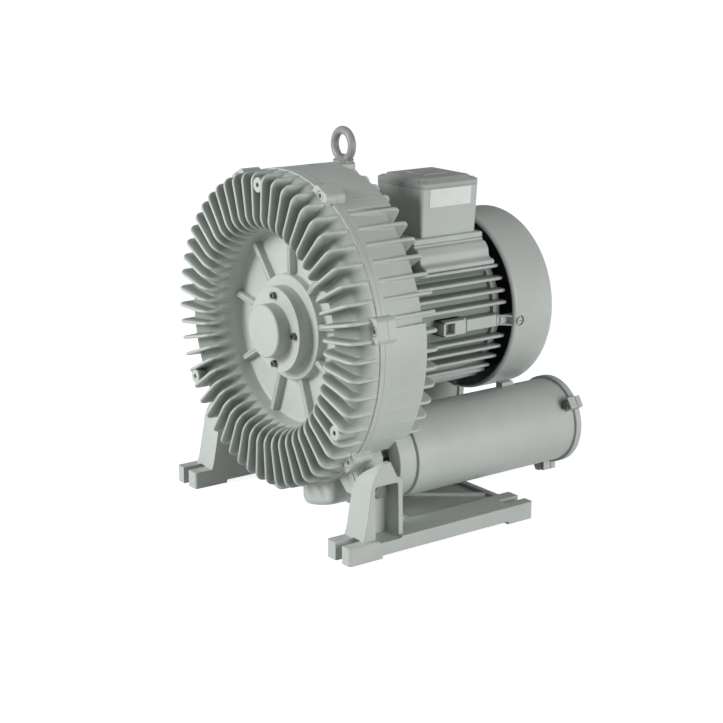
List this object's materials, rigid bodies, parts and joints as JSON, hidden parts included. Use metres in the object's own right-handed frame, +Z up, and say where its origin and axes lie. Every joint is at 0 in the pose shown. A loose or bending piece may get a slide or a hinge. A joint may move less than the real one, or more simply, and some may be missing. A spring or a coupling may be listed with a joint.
{
  "type": "side channel blower",
  "caption": "Single-stage side channel blower: finned cover and casing, flanged motor with fan cowl and terminal box, twin silencers, cast base with open foot slots, lifting eye.",
  "frame": {"origin": "on the floor plane, below the middle of the whole machine's outline", "axes": "+Z up; +Y along the shaft from the finned cover to the fan cowl; +X to the right seen from the cover"},
  "size_m": [0.4792, 0.454, 0.569],
  "materials": {
    "casting_paint": "light grey-green machine paint over cast aluminium, satin",
    "sheet_paint": "light grey-green machine paint on sheet steel, satin",
    "eye_paint": "neutral grey paint on forged steel",
    "zinc_steel": "zinc plated",
    "machined_steel": "ground",
    "bearing_steel": "polished",
    "cage_brass": "bright",
    "cast_aluminium": "as cast",
    "lamination_steel": "stacked sheet",
    "copper_winding": "varnished wire",
    "seal_rubber": "matt",
    "foam": "open cell foam",
    "black_plastic": "moulded",
    "plate_film": "bare pale plate"
  },
  "bodies": {
    "blower_housing": {"base_frame": "casting_paint", "bearing_cap": "casting_paint", "bearing_cap_screws": "zinc_steel", "bearing_wave_spring": "zinc_steel", "box_screws": "zinc_steel", "cable_plugs": "black_plastic", "casing_cover": "casting_paint", "cover_bolts": "zinc_steel", "cover_seal": "seal_rubber", "cowl_screws": "zinc_steel", "end_shield_screws": "zinc_steel", "eye_bolt": "eye_paint", "fan_cowl": "sheet_paint", "foot_bolts": "zinc_steel", "foot_washers": "zinc_steel", "front_bearing_outer_ring": "bearing_steel", "front_shaft_seal": "seal_rubber", "lid_screws": "zinc_steel", "motor_bolts": "zinc_steel", "motor_frame": "casting_paint", "nameplate": "plate_film", "rear_bearing_outer_ring": "bearing_steel", "rear_casing": "casting_paint", "rear_end_shield": "casting_paint", "rear_shaft_seal": "seal_rubber", "silencer_body_left": "casting_paint", "silencer_body_right": "casting_paint", "silencer_cover_left": "casting_paint", "silencer_cover_right": "casting_paint", "silencer_end_screws": "zinc_steel", "silencer_foam_left": "foam", "silencer_foam_right": "foam", "silencer_gaskets": "seal_rubber", "silencer_port_screws": "zinc_steel", "silencer_screen_left": "zinc_steel", "silencer_screen_right": "zinc_steel", "stator_core": "lamination_steel", "stator_windings": "copper_winding", "terminal_block": "black_plastic", "terminal_box": "casting_paint", "terminal_box_gasket": "seal_rubber", "terminal_box_lid": "casting_paint", "terminal_studs": "cage_brass"},
    "rotor": {"motor_shaft": "machined_steel", "impeller": "cast_aluminium", "impeller_key": "machined_steel", "impeller_locknut": "zinc_steel", "impeller_spacer": "machined_steel", "rotor_core": "lamination_steel", "rotor_cage": "cast_aluminium", "cooling_fan": "black_plastic", "fan_circlip": "zinc_steel", "front_bearing_inner_ring": "bearing_steel", "rear_bearing_inner_ring": "bearing_steel"},
    "front_ball_train": {"front_bearing_balls": "bearing_steel", "front_bearing_cage": "cage_brass"},
    "rear_ball_train": {"rear_bearing_balls": "bearing_steel", "rear_bearing_cage": "cage_brass"}
  },
  "joints": [
    {"name": "rotor_spin", "type": "hinge", "parent": "blower_housing", "child": "rotor", "pos_m": [0, -0.021, 0.285], "axis": [0, 1, 0], "continuous": true},
    {"name": "front_ball_train_spin", "type": "hinge", "parent": "blower_housing", "child": "front_ball_train", "pos_m": [0, -0.173, 0.285], "axis": [0, 1, 0], "continuous": true},
    {"name": "rear_ball_train_spin", "type": "hinge", "parent": "blower_housing", "child": "rear_ball_train", "pos_m": [0, 0.129, 0.285], "axis": [0, 1, 0], "continuous": true}
  ],
  "couplings": [
    {"joint": "front_ball_train_spin", "follows": "rotor_spin", "ratio": 0.408},
    {"joint": "rear_ball_train_spin", "follows": "rotor_spin", "ratio": 0.408}
  ]
}
